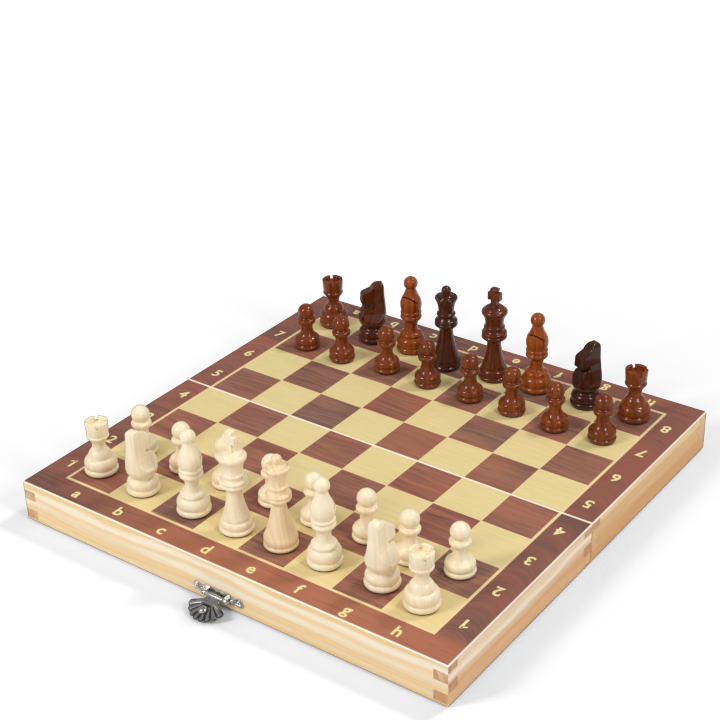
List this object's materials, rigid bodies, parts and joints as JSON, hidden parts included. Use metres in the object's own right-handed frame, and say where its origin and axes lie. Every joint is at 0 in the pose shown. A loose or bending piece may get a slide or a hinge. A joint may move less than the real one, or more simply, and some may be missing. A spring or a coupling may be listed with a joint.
{
  "type": "folding chess board",
  "caption": "Folding wooden chess board: two shallow hinged cases that open flat into the board, with a hasp and a set of magnetic men standing on it.",
  "frame": {"origin": "middle of the seam between the two cases, on the plane of their rims, with the board open", "axes": "+X along the ranks from file a to file h, +Y along the files from rank 1 to rank 8, +Z from the rims up to the playing surface"},
  "size_m": [0.292, 0.3071, 0.0891],
  "materials": {
    "case_wood": "clear varnish, satin",
    "deck_board": "bare hardboard",
    "steel": "bare sheet",
    "board_print": "printed field and border under satin varnish",
    "flock": "short flock",
    "hardware": "nickel plate",
    "white_wood": "clear gloss varnish",
    "black_wood": "dark stain under gloss varnish"
  },
  "bodies": {
    "front_half": {"front_outer_wall": "case_wood", "front_spine_wall": "case_wood", "front_left_wall": "case_wood", "front_right_wall": "case_wood", "front_deck_panel": "deck_board", "front_steel_sheet": "steel", "front_printed_sheet": "board_print", "front_lining": "flock", "hinge_front_leaves": "hardware", "hinge_pins": "hardware", "hinge_front_screws": "hardware", "hasp_plate": "hardware", "hasp_pin": "hardware", "hasp_screws": "hardware"},
    "rear_half": {"rear_outer_wall": "case_wood", "rear_spine_wall": "case_wood", "rear_left_wall": "case_wood", "rear_right_wall": "case_wood", "rear_deck_panel": "deck_board", "rear_steel_sheet": "steel", "rear_printed_sheet": "board_print", "rear_lining": "flock", "hinge_rear_leaves": "hardware", "hinge_rear_screws": "hardware", "catch_plate": "hardware", "catch_screws": "hardware"},
    "hasp": {"hasp_flap": "hardware", "hasp_knob": "hardware"},
    "white_pawn_a": {"white_pawn_a": "white_wood"},
    "white_rook_a": {"white_rook_a": "white_wood"},
    "white_pawn_b": {"white_pawn_b": "white_wood"},
    "white_knight_b": {"white_knight_b": "white_wood"},
    "white_pawn_c": {"white_pawn_c": "white_wood"},
    "white_bishop_c": {"white_bishop_c": "white_wood"},
    "white_pawn_d": {"white_pawn_d": "white_wood"},
    "white_king": {"white_king": "white_wood"},
    "white_pawn_e": {"white_pawn_e": "white_wood"},
    "white_queen": {"white_queen": "white_wood"},
    "white_pawn_f": {"white_pawn_f": "white_wood"},
    "white_bishop_f": {"white_bishop_f": "white_wood"},
    "white_pawn_g": {"white_pawn_g": "white_wood"},
    "white_knight_g": {"white_knight_g": "white_wood"},
    "white_pawn_h": {"white_pawn_h": "white_wood"},
    "white_rook_h": {"white_rook_h": "white_wood"},
    "black_pawn_a": {"black_pawn_a": "black_wood"},
    "black_rook_a": {"black_rook_a": "black_wood"},
    "black_pawn_b": {"black_pawn_b": "black_wood"},
    "black_knight_b": {"black_knight_b": "black_wood"},
    "black_pawn_c": {"black_pawn_c": "black_wood"},
    "black_bishop_c": {"black_bishop_c": "black_wood"},
    "black_pawn_d": {"black_pawn_d": "black_wood"},
    "black_queen": {"black_queen": "black_wood"},
    "black_pawn_e": {"black_pawn_e": "black_wood"},
    "black_king": {"black_king": "black_wood"},
    "black_pawn_f": {"black_pawn_f": "black_wood"},
    "black_bishop_f": {"black_bishop_f": "black_wood"},
    "black_pawn_g": {"black_pawn_g": "black_wood"},
    "black_knight_g": {"black_knight_g": "black_wood"},
    "black_pawn_h": {"black_pawn_h": "black_wood"},
    "black_rook_h": {"black_rook_h": "black_wood"}
  },
  "joints": [
    {"name": "board_fold", "type": "hinge", "parent": "front_half", "child": "rear_half", "pos_m": [0, 0, -0.0001], "axis": [-1, 0, 0], "range_deg": [0, 180]},
    {"name": "hasp_swing", "type": "hinge", "parent": "front_half", "child": "hasp", "pos_m": [0, -0.1465, 0.0064], "axis": [1, 0, 0], "range_deg": [-95, 68]},
    {"name": "lift_white_pawn_a", "type": "slide", "parent": "front_half", "child": "white_pawn_a", "axis": [0, 0, 1], "range_m": [0, 0.075]},
    {"name": "lift_white_rook_a", "type": "slide", "parent": "front_half", "child": "white_rook_a", "axis": [0, 0, 1], "range_m": [0, 0.075]},
    {"name": "lift_white_pawn_b", "type": "slide", "parent": "front_half", "child": "white_pawn_b", "axis": [0, 0, 1], "range_m": [0, 0.075]},
    {"name": "lift_white_knight_b", "type": "slide", "parent": "front_half", "child": "white_knight_b", "axis": [0, 0, 1], "range_m": [0, 0.075]},
    {"name": "lift_white_pawn_c", "type": "slide", "parent": "front_half", "child": "white_pawn_c", "axis": [0, 0, 1], "range_m": [0, 0.075]},
    {"name": "lift_white_bishop_c", "type": "slide", "parent": "front_half", "child": "white_bishop_c", "axis": [0, 0, 1], "range_m": [0, 0.075]},
    {"name": "lift_white_pawn_d", "type": "slide", "parent": "front_half", "child": "white_pawn_d", "axis": [0, 0, 1], "range_m": [0, 0.075]},
    {"name": "lift_white_king", "type": "slide", "parent": "front_half", "child": "white_king", "axis": [0, 0, 1], "range_m": [0, 0.075]},
    {"name": "lift_white_pawn_e", "type": "slide", "parent": "front_half", "child": "white_pawn_e", "axis": [0, 0, 1], "range_m": [0, 0.075]},
    {"name": "lift_white_queen", "type": "slide", "parent": "front_half", "child": "white_queen", "axis": [0, 0, 1], "range_m": [0, 0.075]},
    {"name": "lift_white_pawn_f", "type": "slide", "parent": "front_half", "child": "white_pawn_f", "axis": [0, 0, 1], "range_m": [0, 0.075]},
    {"name": "lift_white_bishop_f", "type": "slide", "parent": "front_half", "child": "white_bishop_f", "axis": [0, 0, 1], "range_m": [0, 0.075]},
    {"name": "lift_white_pawn_g", "type": "slide", "parent": "front_half", "child": "white_pawn_g", "axis": [0, 0, 1], "range_m": [0, 0.075]},
    {"name": "lift_white_knight_g", "type": "slide", "parent": "front_half", "child": "white_knight_g", "axis": [0, 0, 1], "range_m": [0, 0.075]},
    {"name": "lift_white_pawn_h", "type": "slide", "parent": "front_half", "child": "white_pawn_h", "axis": [0, 0, 1], "range_m": [0, 0.075]},
    {"name": "lift_white_rook_h", "type": "slide", "parent": "front_half", "child": "white_rook_h", "axis": [0, 0, 1], "range_m": [0, 0.075]},
    {"name": "lift_black_pawn_a", "type": "slide", "parent": "rear_half", "child": "black_pawn_a", "axis": [0, 0, 1], "range_m": [0, 0.075]},
    {"name": "lift_black_rook_a", "type": "slide", "parent": "rear_half", "child": "black_rook_a", "axis": [0, 0, 1], "range_m": [0, 0.075]},
    {"name": "lift_black_pawn_b", "type": "slide", "parent": "rear_half", "child": "black_pawn_b", "axis": [0, 0, 1], "range_m": [0, 0.075]},
    {"name": "lift_black_knight_b", "type": "slide", "parent": "rear_half", "child": "black_knight_b", "axis": [0, 0, 1], "range_m": [0, 0.075]},
    {"name": "lift_black_pawn_c", "type": "slide", "parent": "rear_half", "child": "black_pawn_c", "axis": [0, 0, 1], "range_m": [0, 0.075]},
    {"name": "lift_black_bishop_c", "type": "slide", "parent": "rear_half", "child": "black_bishop_c", "axis": [0, 0, 1], "range_m": [0, 0.075]},
    {"name": "lift_black_pawn_d", "type": "slide", "parent": "rear_half", "child": "black_pawn_d", "axis": [0, 0, 1], "range_m": [0, 0.075]},
    {"name": "lift_black_queen", "type": "slide", "parent": "rear_half", "child": "black_queen", "axis": [0, 0, 1], "range_m": [0, 0.075]},
    {"name": "lift_black_pawn_e", "type": "slide", "parent": "rear_half", "child": "black_pawn_e", "axis": [0, 0, 1], "range_m": [0, 0.075]},
    {"name": "lift_black_king", "type": "slide", "parent": "rear_half", "child": "black_king", "axis": [0, 0, 1], "range_m": [0, 0.075]},
    {"name": "lift_black_pawn_f", "type": "slide", "parent": "rear_half", "child": "black_pawn_f", "axis": [0, 0, 1], "range_m": [0, 0.075]},
    {"name": "lift_black_bishop_f", "type": "slide", "parent": "rear_half", "child": "black_bishop_f", "axis": [0, 0, 1], "range_m": [0, 0.075]},
    {"name": "lift_black_pawn_g", "type": "slide", "parent": "rear_half", "child": "black_pawn_g", "axis": [0, 0, 1], "range_m": [0, 0.075]},
    {"name": "lift_black_knight_g", "type": "slide", "parent": "rear_half", "child": "black_knight_g", "axis": [0, 0, 1], "range_m": [0, 0.075]},
    {"name": "lift_black_pawn_h", "type": "slide", "parent": "rear_half", "child": "black_pawn_h", "axis": [0, 0, 1], "range_m": [0, 0.075]},
    {"name": "lift_black_rook_h", "type": "slide", "parent": "rear_half", "child": "black_rook_h", "axis": [0, 0, 1], "range_m": [0, 0.075]}
  ]
}
